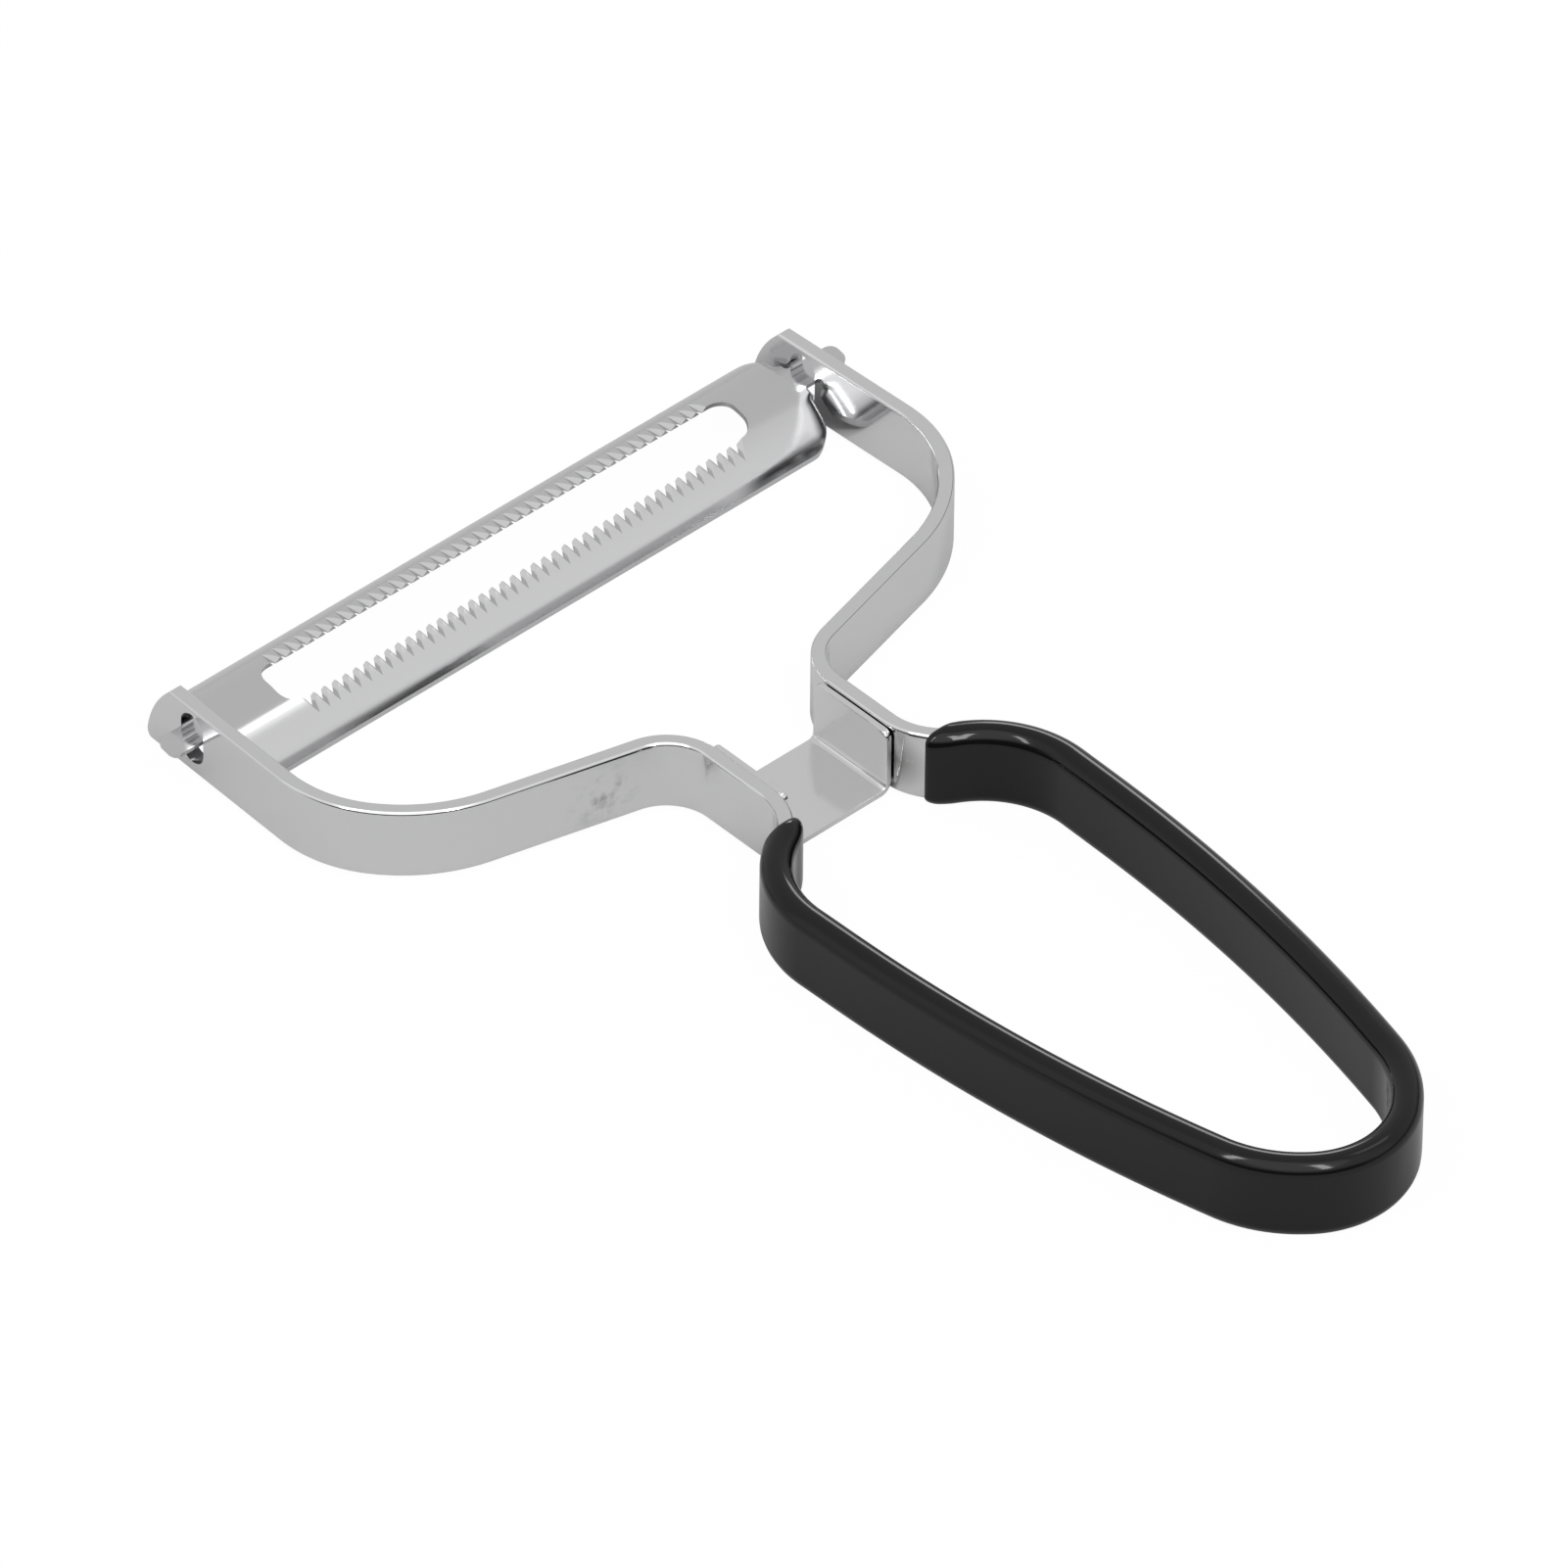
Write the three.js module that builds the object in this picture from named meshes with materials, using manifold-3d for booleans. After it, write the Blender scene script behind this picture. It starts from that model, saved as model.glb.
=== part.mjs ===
// Wide-head vegetable peeler: a bent steel strip with a dipped grip, a channel
// that ties its neck together, and an arched, toothed blade that swivels in the arms.
// Millimetres, +Z up. X runs across the head and +Y from the handle to the blade.
// The finished part stands on z = 0 with the origin under the middle of its box.

import * as THREE from 'three';
import { mergeVertices } from 'three/addons/utils/BufferGeometryUtils.js';
import Module from 'manifold-3d';

const wasm = await Module();
wasm.setup();

// Steel strip, standing on edge
const stripThickness = 2;
const stripHeight = 10;
const stripEdge = 0.45; // rounding of the long edges

// Centreline of the right half of the strip, from its neck: corners and bend radii.
// Runs and drops lead from each corner to the next; Y is counted from the neck.
const neckHalf = 9.87;
const neckTopY = 7.26;
const neckTopBend = 7.4;
const neckLength = 19.81;
const neckBottomBend = 8.4;
const headDepth = 8.11; // rise of the long slope from the neck to the shoulder
const slopeBend = 22;
const armHalf = 50.25; // at the shoulder
const shoulderRun = 9.17;
const shoulderRise = 10.37;
const shoulderBend = 16.8;
const armLength = 31.46;
const toeIn = 1.29; // of the arm's tip
const hipRun = 11.53;
const hipDrop = 6.89;
const hipBend = 14;
const sideTaper = 0.94;
const sideLength = 41.66;
const sideBend = 246;
const tailTaper = 8.18;
const tailLength = 32.83;
const tailBend = 17;
const endDrop = 10.74;
const endBend = 12;
const bendStep = Math.PI / 24; // largest turn of one facet of a bend
const bendFacet = 7; // and its largest length
const leastStep = 0.01; // points closer than this are one

// End of each arm in side view: a long curve back to the top, over a small round nose
const noseRadius = 1.5;
const tipCurve = 15;
const tipMeet = THREE.MathUtils.degToRad(10); // direction in which the two curves meet

// Dipped grip
const gripWall = 0.8; // beside the strip
const gripCap = 0.45; // above and below the strip
const gripEdge = 1.8;
const gripClearance = 0.25;
const dipBelowNeck = 0.95; // dip line, below the neck's lower corner

// Channel between the neck straights
const bracketSheet = 0.8;
const bracketHeight = 9.4;
const bracketLength = 12.8;
const bracketInset = 3.96; // front edge, below the neck's upper corner
const bracketBend = 0.8; // inside radius
const bracketCorner = 1.2;
const bracketClearance = 0.25;

// Blade
const bladeRadius = 9.05; // outer face of the arch
const bladeSheet = 0.7;
const nearRail = 7.25; // widths along the outer face
const farRail = 6.15;
const slotWidth = 6.25;
const slotCorner = 2.2;
const endBridge = 9.8; // blade left standing at each end of the slot
const nearCorner = 4; // of the blade's plan
const farCorner = 4;
const bladeEndPlay = 0.7;
const restTilt = THREE.MathUtils.degToRad(11.6);
const archStep = Math.PI / 45; // turn of one facet of the arch

// Tangs, and the upright slots in the arms that carry them
const pivotBack = 8.45; // from the arm's tip
const pivotZ = 6.0;
const tangWidth = 3.3;
const tangPlay = 0.4;
const tangReach = 4.2; // past the outer face of the arm
const tangCorner = 1.2;
const tangRelief = 0.55;
const armSlotBottom = 1.7;
const armSlotTop = 8.95;

// Ground teeth on both sides of the slot
const toothPitch = 1.68;
const toothMargin = 2.2; // plain length at each end of the slot
const nearTooth = { run: 2.7, depth: 1.72 };
const farTooth = { run: 2.4, depth: 0.86 };

// A tool that cuts reaches this far past what it cuts
const overshoot = 1;

const chrome = { color: 0xb9bbbd, metalness: 1, roughness: 0.16 };
const stainless = { color: 0xc9cacb, metalness: 1, roughness: 0.22 };
const dippedVinyl = { color: 0x161617, metalness: 0, roughness: 0.25 };

function toSolid(geometry) {
  const bare = geometry.clone();
  bare.deleteAttribute('normal');
  bare.deleteAttribute('uv');
  const merged = mergeVertices(bare, 1e-5);
  return new wasm.Manifold(new wasm.Mesh({
    numProp: 3,
    vertProperties: new Float32Array(merged.attributes.position.array),
    triVerts: new Uint32Array(merged.index.array),
  }));
}

function toMesh(name, solid, finish) {
  const { vertProperties, triVerts } = solid.getMesh();
  const geometry = new THREE.BufferGeometry();
  geometry.setAttribute('position', new THREE.BufferAttribute(vertProperties, 3));
  geometry.setIndex(new THREE.BufferAttribute(triVerts, 1));
  geometry.computeVertexNormals();
  const mesh = new THREE.Mesh(geometry, new THREE.MeshStandardMaterial({ ...finish, flatShading: true }));
  mesh.name = name;
  return mesh;
}

// Prisms of an outline: drawn in XY and raised from z, drawn in YZ and run along X,
// or drawn in XZ and run along Y
function alongZ(shape, from, to) {
  const geometry = new THREE.ExtrudeGeometry(shape, { depth: to - from, bevelEnabled: false });
  return toSolid(geometry.translate(0, 0, from));
}

const x = new THREE.Vector3(1, 0, 0);
const y = new THREE.Vector3(0, 1, 0);
const z = new THREE.Vector3(0, 0, 1);

function alongX(shape, from, to) {
  const geometry = new THREE.ExtrudeGeometry(shape, { depth: to - from, bevelEnabled: false });
  geometry.applyMatrix4(new THREE.Matrix4().makeBasis(y, z, x));
  return toSolid(geometry.translate(from, 0, 0));
}

function alongY(shape, from, to) {
  const geometry = new THREE.ExtrudeGeometry(shape, { depth: to - from, bevelEnabled: false });
  geometry.applyMatrix4(new THREE.Matrix4().makeBasis(x, z, y.clone().negate()));
  return toSolid(geometry.translate(0, to, 0));
}

// Straight runs between the corners, joined by tangent arcs of each corner's bend radius.
// A bend that its runs are too short for is as large as they allow.
function bentPath(corners) {
  const points = [corners[0].at];
  const run = (i) => corners[i + 1].at.clone().sub(corners[i].at);
  const turnAt = (i) => {
    const [before, after] = [run(i - 1), run(i)];
    return Math.atan2(before.cross(after), before.dot(after));
  };
  const inside = (i) => i > 0 && i < corners.length - 1;
  const tangent = (i) => (inside(i) ? corners[i].bend * Math.tan(Math.abs(turnAt(i)) / 2) : 0);
  const share = (i) => Math.min(1, run(i).length() / (tangent(i) + tangent(i + 1)));
  for (let i = 1; i < corners.length - 1; i += 1) {
    const { at } = corners[i];
    const before = run(i - 1).normalize();
    const turn = turnAt(i);
    const side = Math.sign(turn);
    const angle = Math.abs(turn);
    const bend = corners[i].bend * Math.min(share(i - 1), share(i));
    const start = at.clone().addScaledVector(before, -bend * Math.tan(angle / 2));
    const centre = start.clone().add(new THREE.Vector2(-before.y, before.x).multiplyScalar(side * bend));
    const steps = Math.ceil(Math.max(angle / bendStep, (angle * bend) / bendFacet));
    for (let k = 0; k <= steps; k += 1) {
      points.push(start.clone().rotateAround(centre, (turn * k) / steps));
    }
  }
  points.push(corners.at(-1).at);
  return points.filter((point, i) => i === 0 || point.distanceTo(points[i - 1]) > leastStep);
}

// Outline of a ribbon of the given half width along a path, mitred at each point
function ribbon(path, half) {
  const left = [];
  const right = [];
  path.forEach((point, i) => {
    const before = point.clone().sub(path[Math.max(i - 1, 0)]).normalize();
    const after = path[Math.min(i + 1, path.length - 1)].clone().sub(point).normalize();
    const along = before.clone().add(after).normalize();
    const normal = new THREE.Vector2(-along.y, along.x);
    const stretch = Math.max(before.dot(along), after.dot(along));
    left.push(point.clone().addScaledVector(normal, half / stretch));
    right.push(point.clone().addScaledVector(normal, -half / stretch));
  });
  return new THREE.Shape([...left, ...right.reverse()]);
}

// A ribbon raised from z to a height, with its long edges rounded
function roundedRibbon(path, half, from, to, edge) {
  const geometry = new THREE.ExtrudeGeometry(ribbon(path, half), {
    depth: to - from - 2 * edge,
    bevelEnabled: true,
    bevelSize: edge,
    bevelThickness: edge,
    bevelOffset: -edge,
    bevelSegments: 2,
  });
  return toSolid(geometry.translate(0, 0, from + edge));
}

function corner(half, along, bend) {
  return { at: new THREE.Vector2(half, along), bend };
}

const neckBottomY = neckTopY - neckLength;
const slopeY = neckTopY + headDepth;
const shoulderY = slopeY + shoulderRise;
const tipY = shoulderY + armLength;
const pivotY = tipY - pivotBack;
const dipLineY = neckBottomY - dipBelowNeck;
const hip = new THREE.Vector2(neckHalf + hipRun, neckBottomY - hipDrop);
const side = new THREE.Vector2(hip.x - sideTaper, hip.y - sideLength);
const tail = new THREE.Vector2(side.x - tailTaper, side.y - tailLength);
const endY = tail.y - endDrop;

function armHalfAt(along) {
  return armHalf - (toeIn * (along - shoulderY)) / armLength;
}

// The strip runs from the right arm's tip round the handle to the left arm's tip
function stripPath() {
  const beyond = tipY + overshoot;
  const rightHalf = [
    corner(armHalfAt(beyond), beyond),
    corner(armHalf, shoulderY, shoulderBend),
    corner(armHalf - shoulderRun, slopeY, slopeBend),
    corner(neckHalf, neckTopY, neckTopBend),
    corner(neckHalf, neckBottomY, neckBottomBend),
    corner(hip.x, hip.y, hipBend),
    corner(side.x, side.y, sideBend),
    corner(tail.x, tail.y, tailBend),
  ];
  const leftHalf = rightHalf.map(({ at, bend }) => corner(-at.x, at.y, bend)).reverse();
  return bentPath([...rightHalf, corner(0, endY, endBend), ...leftHalf]);
}

const armReach = armHalf + stripThickness; // clear of both arms

// Side view of the arms' ends, behind which it covers the whole strip
function tipProfile() {
  const noseY = tipY - noseRadius;
  const curveY = noseY - (tipCurve - noseRadius) * Math.cos(tipMeet);
  const curveZ = noseRadius - (tipCurve - noseRadius) * Math.sin(tipMeet);
  const top = stripHeight + overshoot;
  const profile = new THREE.Shape();
  profile.moveTo(endY, -overshoot);
  profile.lineTo(noseY, -overshoot);
  profile.lineTo(noseY, 0);
  profile.absarc(noseY, noseRadius, noseRadius, -Math.PI / 2, tipMeet, false);
  profile.absarc(curveY, curveZ, tipCurve, tipMeet, Math.asin((top - curveZ) / tipCurve), false);
  profile.lineTo(endY, top);
  return profile;
}

// Upright oblong slot that a tang swings in
function armSlot() {
  const radius = tangWidth / 2 + tangPlay;
  const slot = new THREE.Shape();
  slot.absarc(pivotY, armSlotTop - radius, radius, 0, Math.PI, false);
  slot.absarc(pivotY, armSlotBottom + radius, radius, Math.PI, 2 * Math.PI, false);
  return slot;
}

function frameStrip() {
  return roundedRibbon(stripPath(), stripThickness / 2, 0, stripHeight, stripEdge)
    .intersect(alongX(tipProfile(), -armReach, armReach))
    .subtract(alongX(armSlot(), -armReach, armReach));
}

// The coat follows the strip round the handle and ends where the dip stopped
function gripSleeve() {
  const path = stripPath();
  const bore = stripThickness / 2 + gripClearance;
  const outside = roundedRibbon(
    path, bore + gripWall, -gripClearance - gripCap, stripHeight + gripClearance + gripCap, gripEdge,
  );
  const channel = roundedRibbon(
    path, bore, -gripClearance, stripHeight + gripClearance, stripEdge + gripClearance,
  );
  const reach = hip.x + stripThickness + gripWall + overshoot;
  const dipped = new THREE.Shape([
    new THREE.Vector2(-reach, endY - overshoot),
    new THREE.Vector2(reach, endY - overshoot),
    new THREE.Vector2(reach, dipLineY),
    new THREE.Vector2(-reach, dipLineY),
  ]);
  return outside.subtract(channel)
    .intersect(alongZ(dipped, -stripHeight, 2 * stripHeight));
}

// Folded channel: its flanges lie against the neck, its base closes the underside
function neckBracket() {
  const half = neckHalf - stripThickness / 2 - bracketClearance;
  const inside = half - bracketSheet;
  const bendOut = bracketBend + bracketSheet;
  const bracketFrontY = neckTopY - bracketInset;
  const bracketBackY = bracketFrontY - bracketLength;
  const fold = new THREE.Shape();
  fold.moveTo(-half, bracketHeight);
  fold.absarc(-half + bendOut, bendOut, bendOut, Math.PI, 1.5 * Math.PI, false);
  fold.absarc(half - bendOut, bendOut, bendOut, 1.5 * Math.PI, 2 * Math.PI, false);
  fold.lineTo(half, bracketHeight);
  fold.lineTo(inside, bracketHeight);
  fold.absarc(inside - bracketBend, bendOut, bracketBend, 0, -0.5 * Math.PI, true);
  fold.absarc(-inside + bracketBend, bendOut, bracketBend, -0.5 * Math.PI, -Math.PI, true);
  fold.lineTo(-inside, bracketHeight);

  const flange = new THREE.Shape();
  flange.moveTo(bracketBackY, -overshoot);
  flange.lineTo(bracketFrontY, -overshoot);
  const cornerZ = bracketHeight - bracketCorner;
  flange.absarc(bracketFrontY - bracketCorner, cornerZ, bracketCorner, 0, Math.PI / 2, false);
  flange.absarc(bracketBackY + bracketCorner, cornerZ, bracketCorner, Math.PI / 2, Math.PI, false);

  return alongY(fold, bracketBackY, bracketFrontY)
    .intersect(alongX(flange, -neckHalf, neckHalf));
}

const bladeHalf = armHalfAt(pivotY) - stripThickness / 2 - bladeEndPlay;
const tangTip = armHalfAt(pivotY) + stripThickness / 2 + tangReach;
const slotHalf = bladeHalf - endBridge;
const slotAngle = slotWidth / 2 / bladeRadius;
const nearAngle = slotAngle + nearRail / bladeRadius;
const farAngle = slotAngle + farRail / bladeRadius;

// Section of the arch about its own axis, with the crown on +Z and the near rail on -Y
function archSection() {
  const inner = bladeRadius - bladeSheet;
  const steps = Math.ceil((nearAngle + farAngle) / archStep);
  const arc = (radius) => Array.from({ length: steps + 1 }, (_, i) => {
    const angle = THREE.MathUtils.lerp(-nearAngle, farAngle, i / steps);
    return new THREE.Vector2(radius * Math.sin(angle), radius * Math.cos(angle));
  });
  return new THREE.Shape([...arc(inner), ...arc(bladeRadius).reverse()]);
}

// The blade seen from above: round corners, a tang on each end, and the long slot
function bladePlan() {
  const tang = tangWidth / 2;
  const root = tang + tangRelief;
  const near = { edge: bladeRadius * Math.sin(nearAngle), radius: nearCorner };
  const far = { edge: bladeRadius * Math.sin(farAngle), radius: farCorner };
  const plan = new THREE.Shape();
  for (const [side, first, last] of [[1, near, far], [-1, far, near]]) {
    const out = side > 0 ? 0 : Math.PI;
    const end = side * bladeHalf;
    const tip = side * (tangTip - tangCorner);
    const quarter = Math.PI / 2;
    plan.absarc(
      end - side * first.radius, side * (first.radius - first.edge), first.radius,
      out - quarter, out, false,
    );
    plan.absarc(end, -side * root, tangRelief, out - quarter, out - 3 * quarter, true);
    plan.absarc(tip, side * (tangCorner - tang), tangCorner, out - quarter, out, false);
    plan.absarc(tip, side * (tang - tangCorner), tangCorner, out, out + quarter, false);
    plan.absarc(end, side * root, tangRelief, out + 3 * quarter, out + quarter, true);
    plan.absarc(
      end - side * last.radius, side * (last.edge - last.radius), last.radius, out, out + quarter, false,
    );
  }
  const slotY = bladeRadius * Math.sin(slotAngle);
  const slot = new THREE.Path();
  slot.absarc(slotHalf - slotCorner, slotY - slotCorner, slotCorner, 0, Math.PI / 2, false);
  slot.absarc(slotCorner - slotHalf, slotY - slotCorner, slotCorner, Math.PI / 2, Math.PI, false);
  slot.absarc(slotCorner - slotHalf, slotCorner - slotY, slotCorner, Math.PI, 1.5 * Math.PI, false);
  slot.absarc(slotHalf - slotCorner, slotCorner - slotY, slotCorner, 1.5 * Math.PI, 2 * Math.PI, false);
  plan.holes.push(slot);
  return plan;
}

// A row of V grooves that run out of the outer face on the near side of the slot.
// At the slot they are deep enough to leave pointed teeth.
function toothGrooves({ run, depth }) {
  const count = Math.floor((2 * (slotHalf - toothMargin)) / toothPitch);
  const start = (-count * toothPitch) / 2;
  const lip = 0.05 * toothPitch;
  const row = new THREE.Shape();
  row.moveTo(start, lip);
  for (let i = 0; i < count; i += 1) {
    row.lineTo(start + i * toothPitch, 0);
    row.lineTo(start + (i + 0.5) * toothPitch, -depth);
  }
  row.lineTo(-start, 0);
  row.lineTo(-start, lip);

  const onFace = (angle) => (
    new THREE.Vector3(0, -Math.sin(angle), Math.cos(angle)).multiplyScalar(bladeRadius)
  );
  const edge = onFace(slotAngle);
  const deep = edge.clone().setLength(bladeRadius - depth);
  const runOut = onFace(slotAngle + run / bladeRadius);
  const down = runOut.clone().sub(deep).normalize();
  const up = new THREE.Vector3().crossVectors(down, x);
  const geometry = new THREE.ExtrudeGeometry(row, {
    depth: runOut.distanceTo(deep) + 2 * overshoot,
    bevelEnabled: false,
  });
  const place = edge.clone().addScaledVector(down, -overshoot);
  return geometry.applyMatrix4(new THREE.Matrix4().makeBasis(x, up, down).setPosition(place));
}

function swivelBlade() {
  return alongX(archSection(), -tangTip - overshoot, tangTip + overshoot)
    .intersect(alongZ(bladePlan(), 0, 2 * bladeRadius))
    .subtract(toSolid(toothGrooves(nearTooth)))
    .subtract(toSolid(toothGrooves(farTooth).rotateZ(Math.PI)));
}

const frame = new THREE.Group();
frame.add(
  toMesh('frame_strip', frameStrip(), chrome),
  toMesh('grip_sleeve', gripSleeve(), dippedVinyl),
  toMesh('neck_bracket', neckBracket(), chrome),
);

// The blade turns about the middle of its tangs' sheet, and rests with its near rail down
const blade = new THREE.Group();
blade.position.set(0, pivotY, pivotZ);
blade.rotation.x = restTilt;
const bladeMesh = toMesh('swivel_blade', swivelBlade(), stainless);
bladeMesh.position.z = bladeSheet / 2 - bladeRadius;
blade.add(bladeMesh);

const peeler = new THREE.Group();
peeler.add(frame, blade);

const box = new THREE.Box3().setFromObject(peeler, true);
const middle = box.getCenter(new THREE.Vector3());
peeler.position.set(-middle.x, -middle.y, -box.min.z);
peeler.updateMatrixWorld(true);

export default peeler;
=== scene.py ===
from math import acos, asin, ceil, cos, degrees, pi, radians, sin, sqrt, tan

import bmesh
import bpy
from mathutils import Matrix, Vector


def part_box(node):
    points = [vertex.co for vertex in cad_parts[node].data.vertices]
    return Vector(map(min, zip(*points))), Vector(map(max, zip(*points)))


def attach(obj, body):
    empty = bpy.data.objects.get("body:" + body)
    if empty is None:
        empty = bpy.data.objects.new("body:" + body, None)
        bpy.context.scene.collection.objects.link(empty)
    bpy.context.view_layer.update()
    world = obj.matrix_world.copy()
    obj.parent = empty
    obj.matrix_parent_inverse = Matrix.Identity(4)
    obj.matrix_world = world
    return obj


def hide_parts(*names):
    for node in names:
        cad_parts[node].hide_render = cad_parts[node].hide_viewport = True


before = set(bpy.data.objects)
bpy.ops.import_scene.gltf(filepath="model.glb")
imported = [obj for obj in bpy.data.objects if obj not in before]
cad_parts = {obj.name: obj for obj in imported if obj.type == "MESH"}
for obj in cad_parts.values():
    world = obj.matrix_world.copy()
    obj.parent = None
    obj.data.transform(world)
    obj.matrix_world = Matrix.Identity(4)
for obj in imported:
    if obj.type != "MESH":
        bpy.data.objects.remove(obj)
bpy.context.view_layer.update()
mm = 0.001

# lengths are in mm; the neck's y and the height of the strip's lower edge come from the frame
bracketBackY = -9.5  # the bracket's back edge, from the neck
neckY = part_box("neck_bracket")[0][1] / mm - bracketBackY
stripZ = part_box("frame_strip")[0][2] / mm
spare = 1.0  # how far blanks and cutters run past a cut
print("frame loaded, neck at y", round(neckY, 2), "mm")


# sRGB hex to linear, by the standard's own curve
def linear(hexColour):
    channels = [int(hexColour[i:i + 2], 16) / 255 for i in (1, 3, 5)]
    red, green, blue = (c / 12.92 if c <= 0.04045 else ((c + 0.055) / 1.055) ** 2.4 for c in channels)
    return (red, green, blue, 1.0)


# adds a node with its settings, and links or fills its inputs
def addNode(tree, kind, links=None, **settings):
    node = tree.nodes.new(kind)
    for name, value in settings.items():
        setattr(node, name, value)
    for socket, value in (links or {}).items():
        target = node.inputs[socket]
        if isinstance(value, bpy.types.NodeSocket):
            tree.links.new(value, target)
        else:
            target.default_value = value
    return node


def newMaterial(name):
    material = bpy.data.materials.new(name)
    material.use_nodes = True
    tree = material.node_tree
    shader = tree.nodes["Principled BSDF"]
    place = addNode(tree, "ShaderNodeTexCoord").outputs["Object"]
    return material, tree, shader, place


# one noise gives a surface its roughness, between two values, and its relief
def unevenSurface(tree, shader, noise, finish):
    low, high = finish["roughness"]
    rough = addNode(tree, "ShaderNodeMapRange", {"Value": noise, "To Min": low, "To Max": high})
    tree.links.new(rough.outputs["Result"], shader.inputs["Roughness"])
    relief = addNode(tree, "ShaderNodeBump",
                     {"Height": noise, "Distance": finish["reliefMm"] * mm,
                      "Strength": finish["reliefStrength"]})
    tree.links.new(relief.outputs["Normal"], shader.inputs["Normal"])


# Bright chrome plate on rolled strip: a clear mirror with a slow ripple, a dull stain on the left arm,
# and painted shade on the right neck where the bracket's dark edge reflects beside it
chromePlate = {
    "colour": "#dfdfe0",
    # the stain's colour, also used for the painted shade beside the bracket
    "stainAndShade": "#7c7c7a",
    "roughness": 0.08,
    "rippleMm": 14,
    "reliefMm": 0.05,
    "reliefStrength": 0.25,
    "stainAndShadeMm": 2.2,
    "stainAndShadeEdge": (0.5, 0.7),  # noise levels between which the stain and the painted shade come up
    # where each mark lies, from the neck, how far it reaches, how full and how strong it is: first a
    # real stain on the left arm, then painted shade on the right neck beside the bracket's edge
    "stainAndShadePatches": [((-20.5, 9.0, 4.5), 6.0, 0.0, 0.6), ((8.9, -9.8, 5.0), 4.5, 0.3, 1.0)],
}


def makeChrome():
    material, tree, shader, place = newMaterial("bright_chrome_plate")
    shader.inputs["Metallic"].default_value = 1.0
    shader.inputs["Roughness"].default_value = chromePlate["roughness"]
    stainAndShade = addNode(tree, "ShaderNodeTexNoise",
                    {"Vector": place, "Scale": 1 / (chromePlate["stainAndShadeMm"] * mm), "Detail": 6.0,
                     "Roughness": 0.62})
    low, high = chromePlate["stainAndShadeEdge"]
    spots = 0.0
    # each mark darkens the plate: the first is a real stain, the second is painted shade beside the
    # bracket's edge
    for (x, y, z), reachMm, cover, strength in chromePlate["stainAndShadePatches"]:
        middle = (x * mm, (y + neckY) * mm, (z + stripZ) * mm)
        reach = addNode(tree, "ShaderNodeVectorMath", {0: place, 1: middle}, operation="DISTANCE")
        share = addNode(tree, "ShaderNodeMapRange",
                        {"Value": reach.outputs["Value"], "From Max": reachMm * mm,
                         "To Min": strength, "To Max": 0.0})
        patchy = addNode(tree, "ShaderNodeMapRange",
                         {"Value": stainAndShade.outputs["Fac"], "From Min": low - cover,
                          "From Max": high - cover})
        spot = addNode(tree, "ShaderNodeMath", {0: share.outputs[0], 1: patchy.outputs[0]},
                       operation="MULTIPLY")
        spots = addNode(tree, "ShaderNodeMath", {0: spots, 1: spot.outputs[0]},
                        operation="MAXIMUM").outputs[0]
    colour = addNode(tree, "ShaderNodeMixRGB",
                     {"Fac": spots, "Color1": linear(chromePlate["colour"]),
                      "Color2": linear(chromePlate["stainAndShade"])})
    tree.links.new(colour.outputs["Color"], shader.inputs["Base Color"])
    ripple = addNode(tree, "ShaderNodeTexNoise",
                     {"Vector": place, "Scale": 1 / (chromePlate["rippleMm"] * mm), "Detail": 1.0})
    relief = addNode(tree, "ShaderNodeBump",
                     {"Height": ripple.outputs["Fac"], "Distance": chromePlate["reliefMm"] * mm,
                      "Strength": chromePlate["reliefStrength"]})
    tree.links.new(relief.outputs["Normal"], shader.inputs["Normal"])
    return material


# Satin chrome on pressed sheet: the same plate, dulled by the press
satinPlate = {
    "colour": "#e4e4e4",
    "roughness": (0.07, 0.19),
    "grainMm": 0.6,
    "reliefMm": 0.01,
    "reliefStrength": 0.15,
}


def makeSatin():
    material, tree, shader, place = newMaterial("satin_chrome_sheet")
    shader.inputs["Metallic"].default_value = 1.0
    shader.inputs["Base Color"].default_value = linear(satinPlate["colour"])
    grain = addNode(tree, "ShaderNodeTexNoise",
                    {"Vector": place, "Scale": 1 / (satinPlate["grainMm"] * mm), "Detail": 3.0})
    unevenSurface(tree, shader, grain.outputs["Fac"], satinPlate)
    return material


# Polished stainless sheet: rolling lines run along the blade and soften the reflections across it
stainlessSheet = {
    "colour": "#d2d2d3",
    "roughness": (0.11, 0.2),
    "lineMm": 0.35,
    "lineStretch": 60,  # a line is this many times as long as it is wide
    "reliefMm": 0.006,
    "reliefStrength": 0.2,
}


def makeStainless():
    material, tree, shader, place = newMaterial("polished_stainless_sheet")
    shader.inputs["Metallic"].default_value = 1.0
    shader.inputs["Base Color"].default_value = linear(stainlessSheet["colour"])
    along = addNode(tree, "ShaderNodeMapping",
                    {"Vector": place, "Scale": (1 / stainlessSheet["lineStretch"], 1, 1)})
    lines = addNode(tree, "ShaderNodeTexNoise",
                    {"Vector": along.outputs["Vector"], "Scale": 1 / (stainlessSheet["lineMm"] * mm),
                     "Detail": 2.0})
    unevenSurface(tree, shader, lines.outputs["Fac"], stainlessSheet)
    return material


# Dipped vinyl: a wet gloss skin with the slow unevenness of a coat that ran before it set
dippedVinyl = {
    "colour": "#0e0e0f",
    "roughness": (0.06, 0.14),
    "specular": 0.3,
    "runMm": 11,
    "reliefMm": 0.12,
    "reliefStrength": 0.3,
}


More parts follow.
